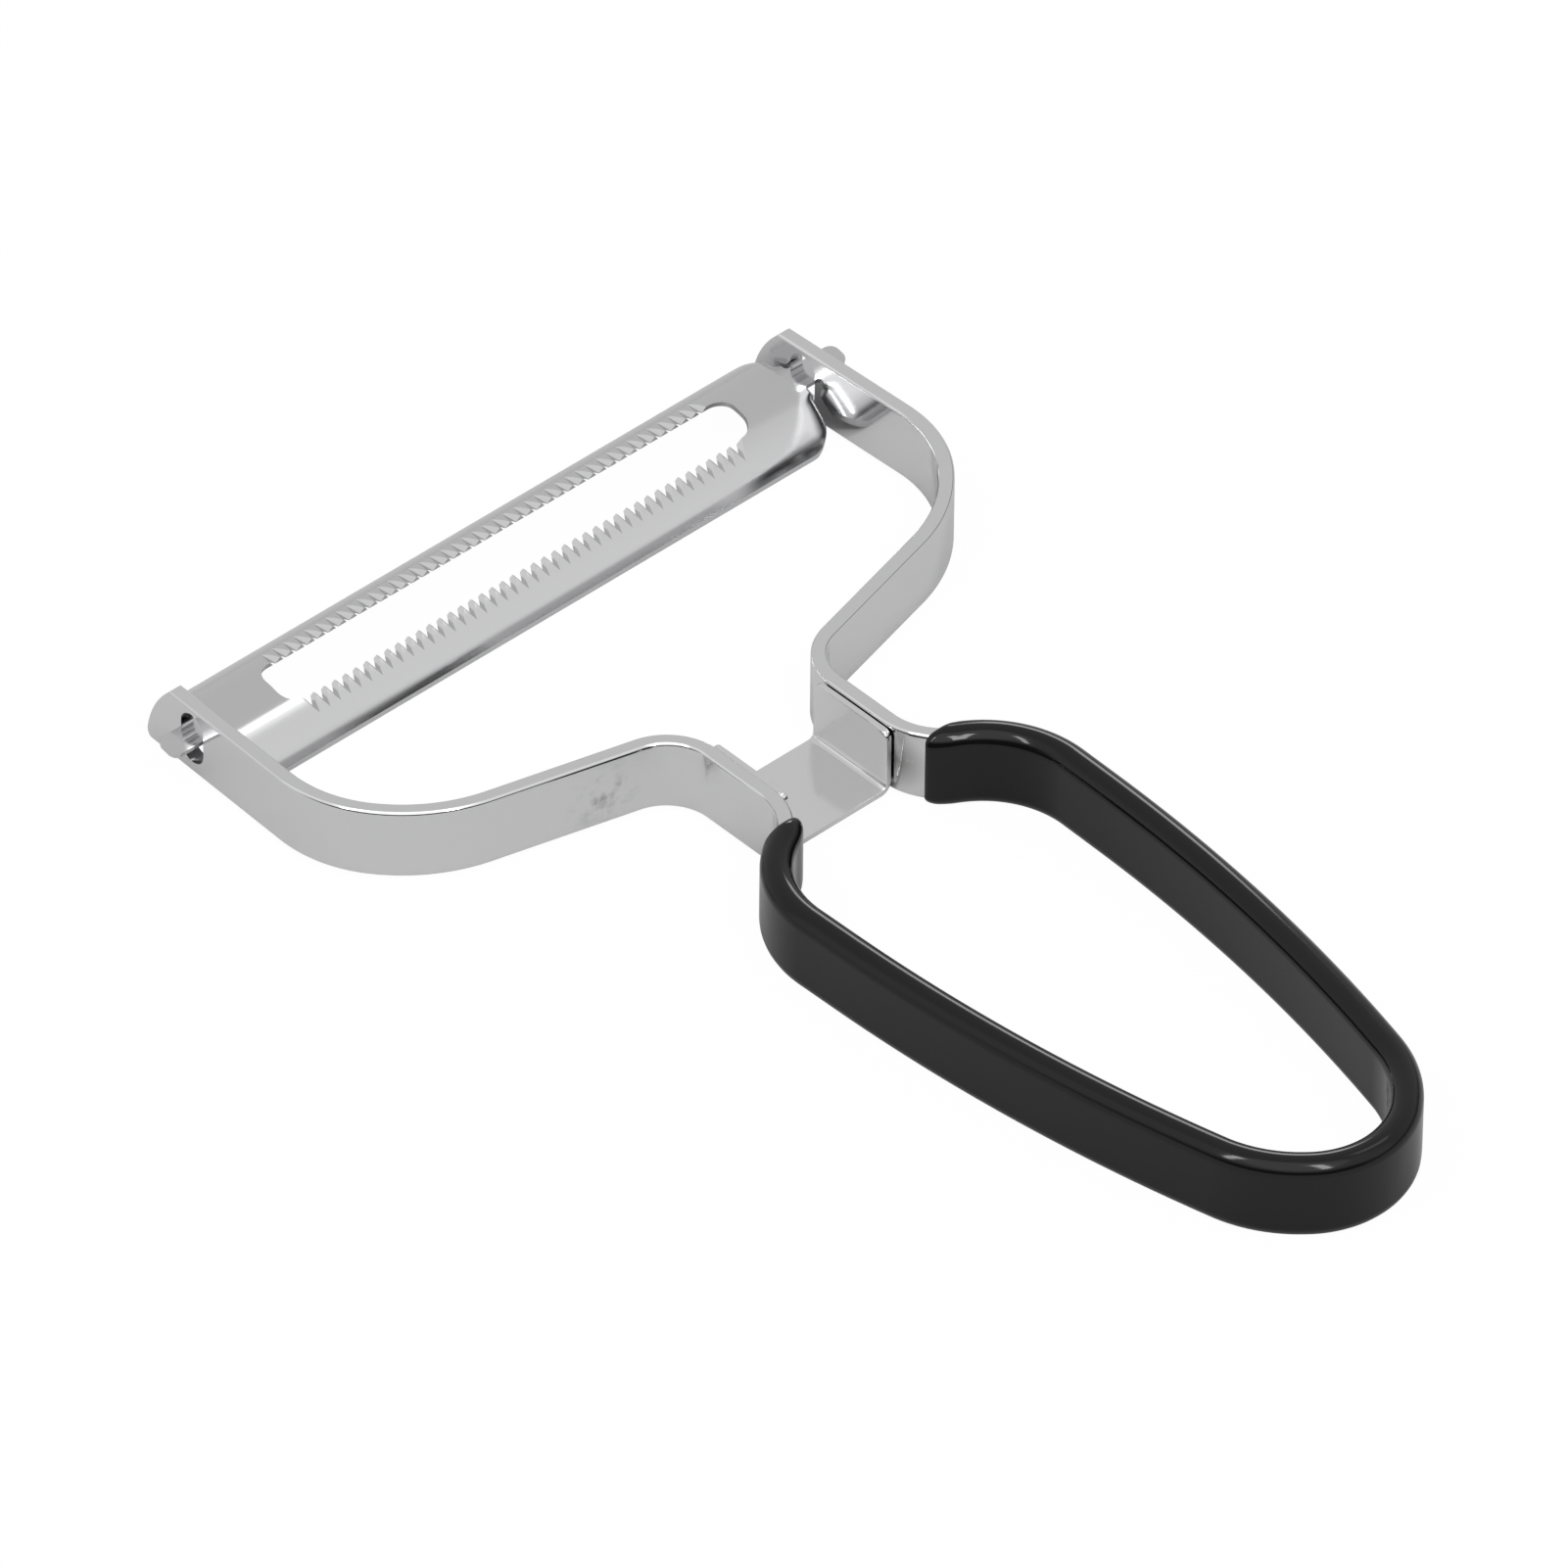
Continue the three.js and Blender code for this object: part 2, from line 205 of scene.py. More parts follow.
def makeVinyl():
    material, tree, shader, place = newMaterial("dipped_black_vinyl")
    shader.inputs["Base Color"].default_value = linear(dippedVinyl["colour"])
    shader.inputs["Specular IOR Level"].default_value = dippedVinyl["specular"]
    runs = addNode(tree, "ShaderNodeTexNoise",
                   {"Vector": place, "Scale": 1 / (dippedVinyl["runMm"] * mm), "Detail": 2.0})
    unevenSurface(tree, shader, runs.outputs["Fac"], dippedVinyl)
    return material


chrome = makeChrome()
satin = makeSatin()
stainless = makeStainless()
vinyl = makeVinyl()
print("materials made")


def newObject(name, mesh):
    obj = bpy.data.objects.new(name, mesh)
    bpy.context.scene.collection.objects.link(obj)
    return obj


def meshFrom(name, verts, faces):
    mesh = bpy.data.meshes.new(name)
    mesh.from_pydata([Vector(v) * mm for v in verts], [], faces)
    mesh.validate()
    return mesh


# turns modifiers or a node tree into a plain mesh
def bake(obj, name=None):
    evaluated = obj.evaluated_get(bpy.context.evaluated_depsgraph_get())
    mesh = bpy.data.meshes.new_from_object(evaluated)
    if obj.type == "MESH":
        obj.modifiers.clear()
        obj.data = mesh
        return obj
    made = newObject(name, mesh)
    bpy.data.objects.remove(obj)
    return made


def cut(obj, cutter, operation):
    boolean = obj.modifiers.new(operation, "BOOLEAN")
    boolean.object = cutter
    boolean.operation = operation
    boolean.solver = "EXACT"
    bake(obj)
    bpy.data.objects.remove(cutter)


mergeGap = 0.0001  # points closer than this are one


# merges doubles and turns the faces outward
def outward(mesh, intoTriangles=False):
    bm = bmesh.new()
    bm.from_mesh(mesh)
    bmesh.ops.remove_doubles(bm, verts=bm.verts, dist=mergeGap * mm)
    if intoTriangles:
        bmesh.ops.triangulate(bm, faces=bm.faces, quad_method="BEAUTY", ngon_method="BEAUTY")
    bmesh.ops.recalc_face_normals(bm, faces=bm.faces)
    bm.to_mesh(mesh)
    bm.free()


# smooth shading over edges up to this angle
def smoothUpTo(obj, angle):
    mesh = obj.data
    mesh.polygons.foreach_set("use_smooth", [True] * len(mesh.polygons))
    mesh.set_sharp_from_angle(angle=radians(angle))
    weighted = obj.modifiers.new("weighted", "WEIGHTED_NORMAL")
    weighted.keep_sharp = True
    bake(obj)


rim = {"segments": 2, "angle": 50}  # edges past this angle are softened


def softenCuts(obj, width):
    bevel = obj.modifiers.new("bevel", "BEVEL")
    bevel.width = width * mm
    bevel.segments = rim["segments"]
    bevel.limit_method = "ANGLE"
    bevel.angle_limit = radians(rim["angle"])
    bevel.use_clamp_overlap = True
    bake(obj)
    outward(obj.data)


def settle(obj, node, body, material):
    obj.data.materials.clear()
    obj.data.materials.append(material)
    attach(obj, body)
    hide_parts(node)
    print(obj.name, "made,", len(obj.data.polygons), "faces")


# prism of an outline that runs along x or z; the outline takes the other two directions in order
def prism(name, outline, axis, low, high):
    count = len(outline)
    verts = []
    for c in (low, high):
        verts += [(c, a, b) if axis == "x" else (a, b, c) for a, b in outline]
    faces = [tuple(range(count)), tuple(range(count, 2 * count))]
    faces += [(i, (i + 1) % count, count + (i + 1) % count, count + i) for i in range(count)]
    obj = newObject(name, meshFrom(name, verts, faces))
    outward(obj.data)
    return obj


def arc(centre, radius, start, end, steps):
    points = []
    for i in range(steps + 1):
        angle = radians(start + (end - start) * i / steps)
        points.append((centre[0] + radius * cos(angle), centre[1] + radius * sin(angle)))
    return points


# The strip: corners of its centreline on the right half, from the arm's tip to the handle's tail,
# each with half width, y from the neck and bend radius
strip = {
    "thickness": 2.0,
    "height": 10.0,
    "edge": 0.6,
    "tip": (48.96, 57.195),
    "corners": [(50.25, 25.74, 16.8), (41.08, 15.37, 22), (9.87, 7.26, 7.4), (9.87, -12.55, 8.4),
                (21.4, -19.44, 14), (20.46, -61.1, 246), (12.28, -93.93, 17)],
    "end": (0, -104.67, 12),
    "pathStep": 1.5,  # degrees of bend between points
    "longest": 4.0,  # greatest step along a bend
    "smoothTo": 35,
}


def bentPath(corners, stepDegrees, longest):
    points = [Vector(corners[0][:2])]
    for before, (cx, cy, bend), after in zip(corners, corners[1:-1], corners[2:]):
        at = Vector((cx, cy))
        into = (at - Vector(before[:2])).normalized()
        out = (Vector(after[:2]) - at).normalized()
        turn = acos(max(-1, min(1, into.dot(out))))
        side = 1 if into.x * out.y - into.y * out.x > 0 else -1
        start = at - into * bend * tan(turn / 2)
        centre = start + Vector((-into.y, into.x)) * side * bend
        steps = max(ceil(turn / radians(stepDegrees)), ceil(turn * bend / longest))
        for k in range(steps + 1):
            swing = Matrix.Rotation(side * turn * k / steps, 2)
            points.append(centre + swing @ (start - centre))
    points.append(Vector(corners[-1][:2]))
    return points


# the right half as listed, run on past the arm's tip, and its mirror
def stripCorners():
    tipX, tipY = strip["tip"]
    armX, armY, _ = strip["corners"][0]
    lean = (armX - tipX) / (tipY - armY)
    right = [(tipX - lean * spare, tipY + spare)] + strip["corners"]
    left = [(-c[0],) + tuple(c[1:]) for c in reversed(right)]
    return right + [strip["end"]] + left


# the strip's whole centreline in the frame's own places
def pathInFrame(longest):
    return [p + Vector((0, neckY)) for p in bentPath(stripCorners(), strip["pathStep"], longest)]


# starts a node tree with named inputs for the host, its sizes and its material
def startTree(name, sizes):
    tree = bpy.data.node_groups.new(name, "GeometryNodeTree")
    for socket, kind in (("Geometry", "Geometry"), *sizes, ("Material", "Material")):
        tree.interface.new_socket(socket, in_out="INPUT", socket_type="NodeSocket" + kind)
    tree.interface.new_socket("Geometry", in_out="OUTPUT", socket_type="NodeSocketGeometry")
    return tree, addNode(tree, "NodeGroupInput").outputs


# ends a node tree in plain geometry with its material
def endTree(tree, geometry, material):
    realized = addNode(tree, "GeometryNodeRealizeInstances", {"Geometry": geometry})
    painted = addNode(tree, "GeometryNodeSetMaterial",
                      {"Geometry": realized.outputs["Geometry"], "Material": material})
    addNode(tree, "NodeGroupOutput", {"Geometry": painted.outputs["Geometry"]})


# node tree that sweeps a rounded bar along the host curve
def barTree():
    sizes = (("Bar Width", "Float"), ("Bar Height", "Float"), ("Edge Radius", "Float"))
    tree, given = startTree("swept_bar", sizes)
    section = addNode(tree, "GeometryNodeCurvePrimitiveQuadrilateral",
                      {"Width": given["Bar Width"], "Height": given["Bar Height"]})
    rounded = addNode(tree, "GeometryNodeFilletCurve",
                      {"Curve": section.outputs["Curve"], "Radius": given["Edge Radius"], "Count": 6},
                      mode="POLY")
    upright = addNode(tree, "GeometryNodeSetCurveNormal", {"Curve": given["Geometry"]}, mode="Z_UP")
    swept = addNode(tree, "GeometryNodeCurveToMesh",
                    {"Curve": upright.outputs["Curve"], "Profile Curve": rounded.outputs["Curve"],
                     "Fill Caps": True})
    endTree(tree, swept.outputs["Mesh"], given["Material"])
    return tree


def runTree(obj, tree, values, name=None):
    modifier = obj.modifiers.new(tree.name, "NODES")
    modifier.node_group = tree
    for item in tree.interface.items_tree:
        if item.item_type == "SOCKET" and item.in_out == "INPUT" and item.name in values:
            modifier[item.identifier] = values[item.name]
    return bake(obj, name)


def pathCurve(name, points):
    curve = bpy.data.curves.new(name, "CURVE")
    curve.dimensions = "3D"
    spline = curve.splines.new("POLY")
    spline.points.add(len(points) - 1)
    for point, at in zip(spline.points, points):
        point.co = (at.x * mm, at.y * mm, (stripZ + strip["height"] / 2) * mm, 1)
    return newObject(name, curve)


# each arm's end in side view: a small round nose at the bottom, then a long curve to the top,
# and an upright slot for the tang
armTip = {
    "nose": 1.5,
    "curve": 15.0,
    "meet": 10.0,  # degrees above level where the two join
    "noseSteps": 10,
    "curveSteps": 20,
}
armSlot = {"y": 48.75, "bottom": 1.7, "top": 8.95, "width": 4.1, "rim": 0.18, "steps": 24}


def tipOutline():
    nose, curve, meet = armTip["nose"], armTip["curve"], armTip["meet"]
    noseY = strip["tip"][1] - nose
    curveY = noseY - (curve - nose) * cos(radians(meet))
    curveZ = nose - (curve - nose) * sin(radians(meet))
    top = strip["height"] + spare
    behind = strip["end"][1] - strip["height"]  # past the handle's tail
    last = degrees(asin((top - curveZ) / curve))
    outline = [(behind, -spare), (noseY, -spare)]
    outline += arc((noseY, nose), nose, -90, meet, armTip["noseSteps"])
    outline += arc((curveY, curveZ), curve, meet, last, armTip["curveSteps"])[1:]
    return outline + [(behind, top)]


def slotOutline():
    radius = armSlot["width"] / 2
    upper = arc((armSlot["y"], armSlot["top"] - radius), radius, 0, 180, armSlot["steps"])
    return upper + arc((armSlot["y"], armSlot["bottom"] + radius), radius, 180, 360, armSlot["steps"])


# from the neck and the strip's lower edge to the frame's own places
def inFrame(outline):
    return [(a + neckY, b + stripZ) for a, b in outline]


def makeStrip():
    host = pathCurve("strip_path", pathInFrame(strip["longest"]))
    sizes = {"Bar Width": strip["thickness"] * mm, "Bar Height": strip["height"] * mm,
             "Edge Radius": strip["edge"] * mm, "Material": chrome}
    obj = runTree(host, barTree(), sizes, "frame_strip_bent")
    outward(obj.data)
    reach = strip["corners"][0][0] + strip["height"]  # past both arms
    cut(obj, prism("tip_cutter", inFrame(tipOutline()), "x", -reach, reach), "INTERSECT")
    cut(obj, prism("slot_cutter", inFrame(slotOutline()), "x", -reach, reach), "DIFFERENCE")
    softenCuts(obj, armSlot["rim"])
    smoothUpTo(obj, strip["smoothTo"])
    return obj


stripPiece = makeStrip()
settle(stripPiece, "frame_strip", "frame", chrome)


# The grip: a dipped coat on the handle loop that thins to a round lip at the dip line
grip = {
    "coatSide": 1.02,
    "coatEdge": 0.7,
    "corner": 1.95,
    "cornerSteps": 8,
    "dipY": -13.5,
    "lip": 1.3,
    "lipStep": 0.1,
    "slantRun": 7.0,  # the slant of the dip line fades out over this length
    "bore": 0.03,  # gap between the strip and the coat
    "longest": 1.2,  # greatest step along a bend
    "closest": 0.02,  # nearer points are dropped
    "smoothTo": 50,
}


def roundedSection(halfWidth, halfHeight, corner, steps):
    quarters = [(1, 1, 0), (-1, 1, 90), (-1, -1, 180), (1, -1, 270)]
    section = []
    for sx, sz, start in quarters:
        centre = (sx * (halfWidth - corner), sz * (halfHeight - corner))
        section += arc(centre, corner, start, start + 90, steps)
    return section


# the stretch of the strip's path behind the dip line, with both ends on the line
def gripPath():
    dip = neckY + grip["dipY"]
    fine = pathInFrame(grip["longest"])
    below = [i for i, p in enumerate(fine) if p.y < dip]
    first, last = below[0], below[-1]

    def crossing(a, b):
        return a.lerp(b, (dip - a.y) / (b.y - a.y))

    start = crossing(fine[first - 1], fine[first])
    end = crossing(fine[last], fine[last + 1])
    points = [start] + fine[first:last + 1] + [end]
    return [p for i, p in enumerate(points) if i == 0 or (p - points[i - 1]).length > grip["closest"]]


# closer points along the lip at the path's start
def refineLip(points):
    out = []
    total = 0
    for a, b in zip(points, points[1:]):
        run = (b - a).length
        pieces = ceil(run / grip["lipStep"]) if total < grip["lip"] else 1
        out += [a.lerp(b, k / pieces) for k in range(pieces)]
        total += run
    return out + [points[-1]]


def makeGrip():
    points = refineLip(gripPath())
    points = refineLip(points[::-1])[::-1]
    lengths = [0.0]
    for a, b in zip(points, points[1:]):
        lengths.append(lengths[-1] + (b - a).length)
    total = lengths[-1]
    fromEnd = [min(run, total - run) for run in lengths]
    middleZ = stripZ + strip["height"] / 2
    ends = ((points[1] - points[0]).normalized(), (points[-1] - points[-2]).normalized())
    slants = [-end.x / end.y for end in ends]

    def ring(i, coat):
        ahead = points[min(i + 1, len(points) - 1)]
        behind = points[max(i - 1, 0)]
        along = (ahead - behind).normalized()
        across = Vector((-along.y, along.x))
        fade = max(0.0, 1 - fromEnd[i] / grip["slantRun"]) ** 2
        slant = slants[0] if lengths[i] < total / 2 else slants[1]
        halfWidth = strip["thickness"] / 2 + max(coat * grip["coatSide"], grip["bore"])
        halfHeight = strip["height"] / 2 + max(coat * grip["coatEdge"], grip["bore"])
        corner = strip["edge"] + coat * (grip["corner"] - strip["edge"])
        verts = []
        for off, rise in roundedSection(halfWidth, halfHeight, corner, grip["cornerSteps"]):
            at = points[i] + across * off + along * (off * slant * fade)
            verts.append((at.x, at.y, middleZ + rise))
        return verts

    def coatAt(i):
        if fromEnd[i] >= grip["lip"]:
            return 1.0
        return sqrt(1 - (1 - fromEnd[i] / grip["lip"]) ** 2)

    # out along the coat and back along its bore
    rings = [ring(i, coatAt(i)) for i in range(len(points))]
    rings += [ring(i, 0.0) for i in range(len(points) - 2, 0, -1)]
    size = len(rings[0])
    verts = [v for r in rings for v in r]
    faces = []
    for i in range(len(rings)):
        j = (i + 1) % len(rings)
        for k in range(size):
            n = (k + 1) % size
            faces.append((i * size + k, i * size + n, j * size + n, j * size + k))
    obj = newObject("grip_sleeve_dipped", meshFrom("grip_sleeve_dipped", verts, faces))
    outward(obj.data)
    smoothUpTo(obj, grip["smoothTo"])
    return obj


gripPiece = makeGrip()
settle(gripPiece, "grip_sleeve", "frame", vinyl)


# The neck channel: one folded sheet, base underneath and a flange up each side
bracket = {
    "half": 8.72,
    "sheet": 0.8,
    "height": 9.4,
    "bend": 0.8,
    "bendSteps": 12,
    "back": bracketBackY,
    "front": 3.3,
    "corner": 1.2,
    "cornerRows": (0, 0.1, 0.25, 0.5, 0.8),  # depths below the top edge where the corner is round
    "flatRow": 3.0,
    "columns": 9,
    "rim": 0.16,
    "smoothTo": 40,
}


def makeBracket():
    half = bracket["half"] - bracket["sheet"] / 2
    low = bracket["sheet"] / 2
    bend = bracket["bend"] + bracket["sheet"] / 2
    top = bracket["height"]
    flange = [*bracket["cornerRows"], bracket["corner"], bracket["flatRow"], top - low - bend]
    # across, height, and depth below the top edge, which rounds the flanges' corners
    profile = [(-half, top - d, d) for d in flange]
    turn = arc((-half + bend, low + bend), bend, 180, 270, bracket["bendSteps"])[1:]
    profile += [(a, b, top) for a, b in turn]
    profile += [(-a, b, top) for a, b in reversed(turn)]
    profile += [(half, top - d, d) for d in reversed(flange)]
    radius = bracket["corner"]
    columns = bracket["columns"]
    verts = []
    for a, b, depth in profile:
        inset = 0
        if depth < radius:
            inset = radius - sqrt(radius ** 2 - (radius - depth) ** 2)
        back = bracket["back"] + inset
        front = bracket["front"] - inset
        for k in range(columns):
            verts.append((a, neckY + back + (front - back) * k / (columns - 1), stripZ + b))
    faces = []
    for i in range(len(profile) - 1):
        for k in range(columns - 1):
            at = i * columns + k
            faces.append((at, at + 1, at + columns + 1, at + columns))
    obj = newObject("neck_bracket_folded", meshFrom("neck_bracket_folded", verts, faces))
    outward(obj.data)
    wall = obj.modifiers.new("wall", "SOLIDIFY")
    wall.thickness = bracket["sheet"] * mm
    wall.offset = 0
    wall.use_even_offset = True
    bake(obj)
    outward(obj.data)
    softenCuts(obj, bracket["rim"])
    smoothUpTo(obj, bracket["smoothTo"])
    return obj


bracketPiece = makeBracket()
settle(bracketPiece, "neck_bracket", "frame", satin)


# The blade: an arched sheet about its own axis, crown on +z and near rail on -y,
# with tangs, slot and teeth
blade = {
    "radius": 9.05,
    "around": 124,  # faces around the arch
    "sheet": 0.7,
    "nearRail": 7.25,
    "farRail": 6.15,
    "slotWidth": 6.25,
    "slotCorner": 2.2,
    "bridge": 9.8,
    "half": 47.616,
    "tilt": 11.6,
    "pivotZ": 6.0,
    "nearCorner": 4.0,
    "farCorner": 4.0,
    "cornerSteps": 24,
    "rimRun": 2.6,  # the ends are drawn down over this length
    "rimDrop": 1.3,
    "rimTurn": 0.96,  # 1 would turn the ends straight down
    "rimFade": (0.6, 2.2),  # the draw fades out toward the tang between these distances from it
    "rimSteps": 10,
    "smoothTo": 28,
    # arc angle and face angle from the crown, in degrees: flank, bend, near plane, ridge, far side
    "turns": [(-70, -56), (-57, -50), (-47, -36), (-22, -27), (-2, -2), (70, 70)],
}
tang = {"width": 3.3, "tip": 54.506, "corner": 1.2, "relief": 0.55, "steps": 14}
teeth = {
    "pitch": 1.68,
    "margin": 2.2,
    # length along the face, depth at the slot, and how far the ridges between grooves
    # are ground down there
    "near": {"run": 2.8, "depth": 1.4, "ridge": 0.45},
    "far": {"run": 2.6, "depth": 0.95, "ridge": 0.0},
    "flat": 0.012,  # width left between two grooves
}
slotAngle = blade["slotWidth"] / 2 / blade["radius"]
nearAngle = slotAngle + blade["nearRail"] / blade["radius"]
farAngle = slotAngle + blade["farRail"] / blade["radius"]
slotHalf = blade["half"] - blade["bridge"]


# angle of the sheet's face at each arc angle: it turns fastest at the ridge
# and at the bend above the near flank
def faceAngle(angle):
    turns = blade["turns"]
    fromCrown = degrees(angle)
    for (low, lowFace), (high, highFace) in zip(turns, turns[1:]):
        if low <= fromCrown <= high:
            return radians(lowFace + (highFace - lowFace) * (fromCrown - low) / (high - low))
    return angle


def easeStep(value, low, high):
    t = max(0.0, min(1.0, (value - low) / (high - low)))
    return t * t * (3 - 2 * t)


def archSheet():
    around = blade["around"]
    steps = blade["rimSteps"]
    edge = blade["half"] - blade["rimRun"]
    ends = [edge + blade["rimRun"] * k / steps for k in range(steps + 1)] + [tang["tip"] + spare]
    columns = [-x for x in reversed(ends)] + ends

    # walks out from the crown along the outer face
    def sectionFrom(start, end, steps):
        at = Vector((blade["radius"] * sin(start), blade["radius"] * cos(start)))
        out = [(start, at.copy())]
        for k in range(steps):
            a, b = (start + (end - start) * (k + h) / steps for h in (0, 1))
            turn = faceAngle((a + b) / 2)
            at += Vector((cos(turn), -sin(turn))) * blade["radius"] * (b - a)
            out.append((b, at.copy()))
        return out

    nearSteps = ceil(nearAngle / (nearAngle + farAngle) * around)
    section = sectionFrom(0, -nearAngle, nearSteps)[::-1]
    section += sectionFrom(0, farAngle, around - nearSteps)[1:]

    fadeFrom, fadeTo = (tang["width"] / 2 + gap for gap in blade["rimFade"])

    # a place on the section, set in by its depth in the sheet and by the draw at the ends
    def spot(x, angle, at, depth):
        mask = easeStep(abs(angle) * blade["radius"], fadeFrom, fadeTo)
        past = max(0.0, min(1.0, (abs(x) - edge) / blade["rimRun"]))
        drop = depth + blade["rimDrop"] * (1 - sqrt(1 - past * past * blade["rimTurn"])) * mask
        turn = faceAngle(angle)
        return (x, at.x - drop * sin(turn), at.y - drop * cos(turn))

    verts = []
    for x in columns:
        verts += [spot(x, angle, at, 0) for angle, at in section]
        verts += [spot(x, angle, at, blade["sheet"]) for angle, at in reversed(section)]
    loop = 2 * (around + 1)
    faces = []
    for i in range(len(columns) - 1):
        for k in range(loop):
            n = (k + 1) % loop
            faces.append((i * loop + k, i * loop + n, (i + 1) * loop + n, (i + 1) * loop + k))
    # the two end caps, as a row of quads across the sheet
    for base in (0, (len(columns) - 1) * loop):
        for k in range(around):
            faces.append((base + k, base + k + 1, base + loop - 2 - k, base + loop - 1 - k))
    obj = newObject("swivel_blade_toothed", meshFrom("swivel_blade_toothed", verts, faces))
    outward(obj.data)
    return obj


# the right half of a plan joined to its mirror
def mirrored(right):
    return right + [(-a, b) for a, b in reversed(right)]


def bladePlan():
    half = tang["width"] / 2
    root = half + tang["relief"]
    end = blade["half"]
    tip = tang["tip"] - tang["corner"]
    near = blade["radius"] * sin(nearAngle)
    far = blade["radius"] * sin(farAngle)
    nearCorner, farCorner = blade["nearCorner"], blade["farCorner"]
    steps = tang["steps"]
    right = arc((end - nearCorner, nearCorner - near), nearCorner, -90, 0, blade["cornerSteps"])
    right += arc((end, -root), tang["relief"], -90, -270, steps)
    right += arc((tip, tang["corner"] - half), tang["corner"], -90, 0, steps)
    right += arc((tip, half - tang["corner"]), tang["corner"], 0, 90, steps)
    right += arc((end, root), tang["relief"], 270, 90, steps)
    right += arc((end - farCorner, far - farCorner), farCorner, 0, 90, blade["cornerSteps"])
    return mirrored(right)


def slotPlan():
    side = blade["radius"] * sin(slotAngle)
    corner = blade["slotCorner"]
    steps = blade["cornerSteps"]
    right = arc((slotHalf - corner, corner - side), corner, -90, 0, steps)
    right += arc((slotHalf - corner, side - corner), corner, 0, 90, steps)
    return mirrored(right)


# node tree that repeats the host wedge in a row along x
def rowTree():
    tree, given = startTree("tooth_groove_row", (("Tooth Count", "Int"), ("Tooth Pitch", "Float")))
    gaps = addNode(tree, "ShaderNodeMath", {0: given["Tooth Count"], 1: 1.0}, operation="SUBTRACT")
    length = addNode(tree, "ShaderNodeMath", {0: gaps.outputs[0], 1: given["Tooth Pitch"]},
                     operation="MULTIPLY")
    start = addNode(tree, "ShaderNodeMath", {0: length.outputs[0], 1: -0.5}, operation="MULTIPLY")
    startAt = addNode(tree, "ShaderNodeCombineXYZ", {"X": start.outputs[0]})
    step = addNode(tree, "ShaderNodeCombineXYZ", {"X": given["Tooth Pitch"]})
    row = addNode(tree, "GeometryNodeMeshLine",
                  {"Count": given["Tooth Count"], "Start Location": startAt.outputs[0],
                   "Offset": step.outputs[0]}, mode="OFFSET")
    copies = addNode(tree, "GeometryNodeInstanceOnPoints",
                     {"Points": row.outputs["Mesh"], "Instance": given["Geometry"]})
    endTree(tree, copies.outputs["Instances"], given["Material"])
    return tree


# one V wedge about x = middle, running from the slot out through the outer face
def grooveWedge(name, side, tooth, middle):
    radius = blade["radius"]

    def onFace(angle, r):
        return Vector((side * r * sin(angle), r * cos(angle)))

    edge = onFace(slotAngle, radius)
    deep = onFace(slotAngle, radius - tooth["depth"])
    runOut = onFace(slotAngle + tooth["run"] / radius, radius)
    down = (runOut - deep).normalized()
    up = Vector((-down.y, down.x)) * (1 if side > 0 else -1)
    half = (teeth["pitch"] - teeth["flat"]) / 2 * tooth["depth"] / (tooth["depth"] - tooth["ridge"])
    near = edge - down * spare
    far = near + down * ((runOut - deep).length + 2 * spare)
    verts = []
    for at in (near, far):
        for x, h in ((-half, 0), (0, -tooth["depth"]), (half, 0)):
            spot = at + up * h
            verts.append((middle + x, spot.x, spot.y))
    faces = [(0, 1, 2), (3, 5, 4), (0, 3, 4, 1), (1, 4, 5, 2), (2, 5, 3, 0)]
    obj = newObject(name, meshFrom(name, verts, faces))
    outward(obj.data)
    return obj


def makeBlade():
    obj = archSheet()
    above = 2 * blade["radius"]  # well past the crown
    cut(obj, prism("plan_cutter", bladePlan(), "z", 0, above), "INTERSECT")
    cut(obj, prism("slot_cutter", slotPlan(), "z", 0, above), "DIFFERENCE")
    count = int(2 * (slotHalf - teeth["margin"]) / teeth["pitch"])
    tree = rowTree()
    for name, side in (("near", -1), ("far", 1)):
        # every other groove in one cut, because neighbours overlap where their ridge is ground down
        for first in (0, 1):
            rowCount = (count - first + 1) // 2
            middle = (first + rowCount - 1 - (count - 1) / 2) * teeth["pitch"]
            wedge = grooveWedge(name + "_grooves", side, teeth[name], middle)
            values = {"Tooth Count": rowCount, "Tooth Pitch": 2 * teeth["pitch"] * mm,
                      "Material": stainless}
            cut(obj, runTree(wedge, tree, values), "DIFFERENCE")
    print("teeth cut,", count, "on each side")
    outward(obj.data, intoTriangles=True)
    smoothUpTo(obj, blade["smoothTo"])
    # tipped about the tangs, which lie in the arms' slots
    place = Matrix.Translation((0, (neckY + armSlot["y"]) * mm, (stripZ + blade["pivotZ"]) * mm))
    place @= Matrix.Rotation(radians(blade["tilt"]), 4, "X")
    place @= Matrix.Translation((0, 0, (blade["sheet"] / 2 - blade["radius"]) * mm))
    obj.data.transform(place)
    return obj


bladePiece = makeBlade()
settle(bladePiece, "swivel_blade", "blade", stainless)


